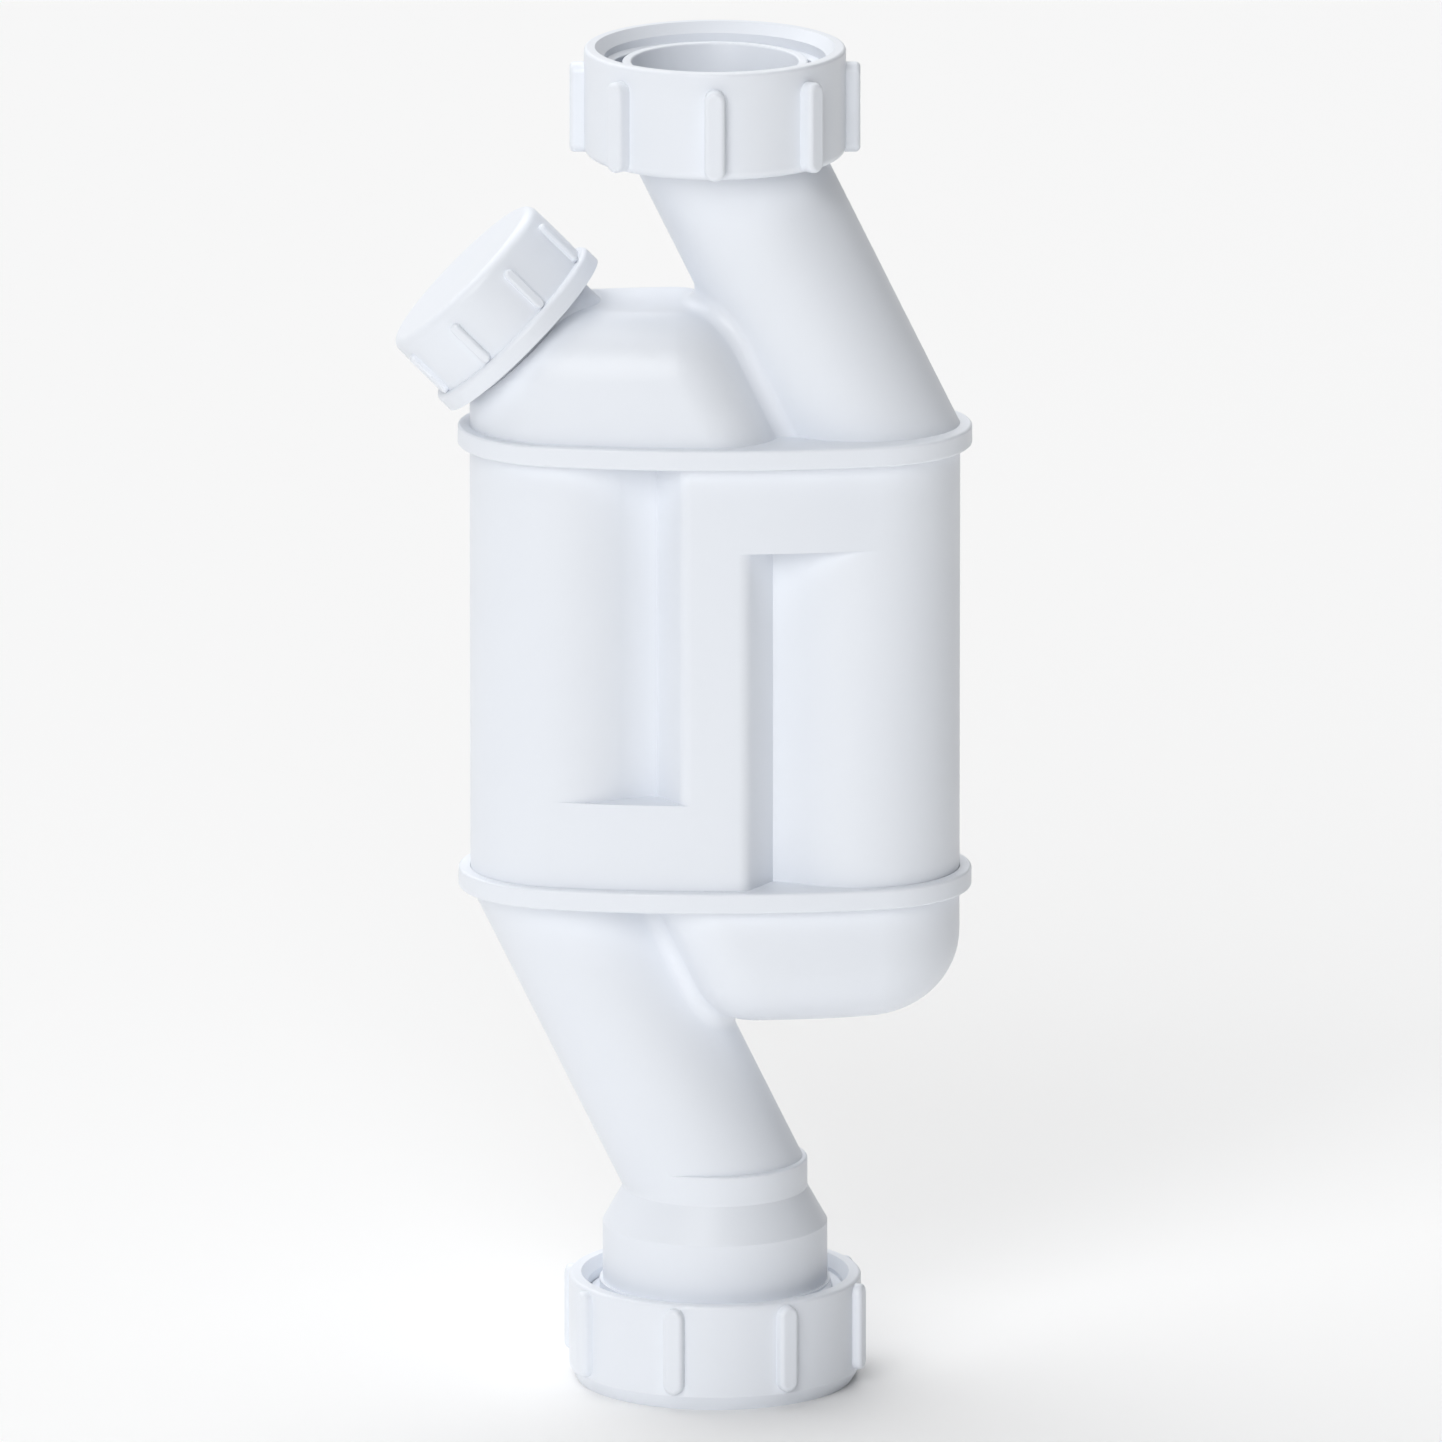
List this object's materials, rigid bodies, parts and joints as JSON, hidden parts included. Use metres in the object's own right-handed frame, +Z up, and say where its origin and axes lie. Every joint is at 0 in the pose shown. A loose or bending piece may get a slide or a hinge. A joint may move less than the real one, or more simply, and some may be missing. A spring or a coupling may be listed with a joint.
{
  "type": "straight-through waste trap",
  "caption": "White plastic in-line waste trap: oval three-leg body with slanted inlet and outlet tubes on one upright axis, a ribbed union nut, a ribbed compression nut and a screw-capped cleaning eye.",
  "frame": {"origin": "on the common axis of inlet and outlet, at the outlet nut's lower face", "axes": "+Z up along the inlet and outlet axis, +X towards the leg that the inlet tube enters, -Y towards the front"},
  "size_m": [0.125, 0.0658, 0.2968],
  "materials": {
    "white_polypropylene": "satin",
    "seal_rubber": "matt"
  },
  "bodies": {
    "trap": {"top_cover": "white_polypropylene", "trap_body": "white_polypropylene", "bottom_cover": "white_polypropylene", "inlet_washer": "seal_rubber"},
    "inlet_nut": {"inlet_nut": "white_polypropylene"},
    "outlet_packing": {"outlet_slip_ring": "white_polypropylene", "outlet_seal": "seal_rubber"},
    "outlet_nut": {"outlet_nut": "white_polypropylene"},
    "eye_packing": {"eye_seal": "seal_rubber"},
    "eye_cap": {"eye_cap": "white_polypropylene"}
  },
  "joints": [
    {"name": "inlet_nut_turn", "type": "hinge", "parent": "trap", "child": "inlet_nut", "pos_m": [0, 0, 0.2793], "axis": [0, 0, 1], "continuous": true},
    {"name": "outlet_nut_travel", "type": "slide", "parent": "trap", "child": "outlet_packing", "axis": [0, 0, -1], "range_m": [0, 0.01305]},
    {"name": "outlet_nut_turn", "type": "hinge", "parent": "outlet_packing", "child": "outlet_nut", "pos_m": [0, 0, 0.0032], "axis": [0, 0, -1], "range_deg": [0, 1300]},
    {"name": "eye_cap_travel", "type": "slide", "parent": "trap", "child": "eye_packing", "axis": [-0.7071, 0, 0.7071], "range_m": [0, 0.00705]},
    {"name": "eye_cap_turn", "type": "hinge", "parent": "eye_packing", "child": "eye_cap", "pos_m": [-0.0415, 0, 0.233], "axis": [-0.7071, 0, 0.7071], "range_deg": [0, 840]}
  ],
  "couplings": [
    {"joint": "outlet_nut_travel", "follows": "outlet_nut_turn", "m_per_rad": 0.00057296},
    {"joint": "eye_cap_travel", "follows": "eye_cap_turn", "m_per_rad": 0.00047746}
  ]
}
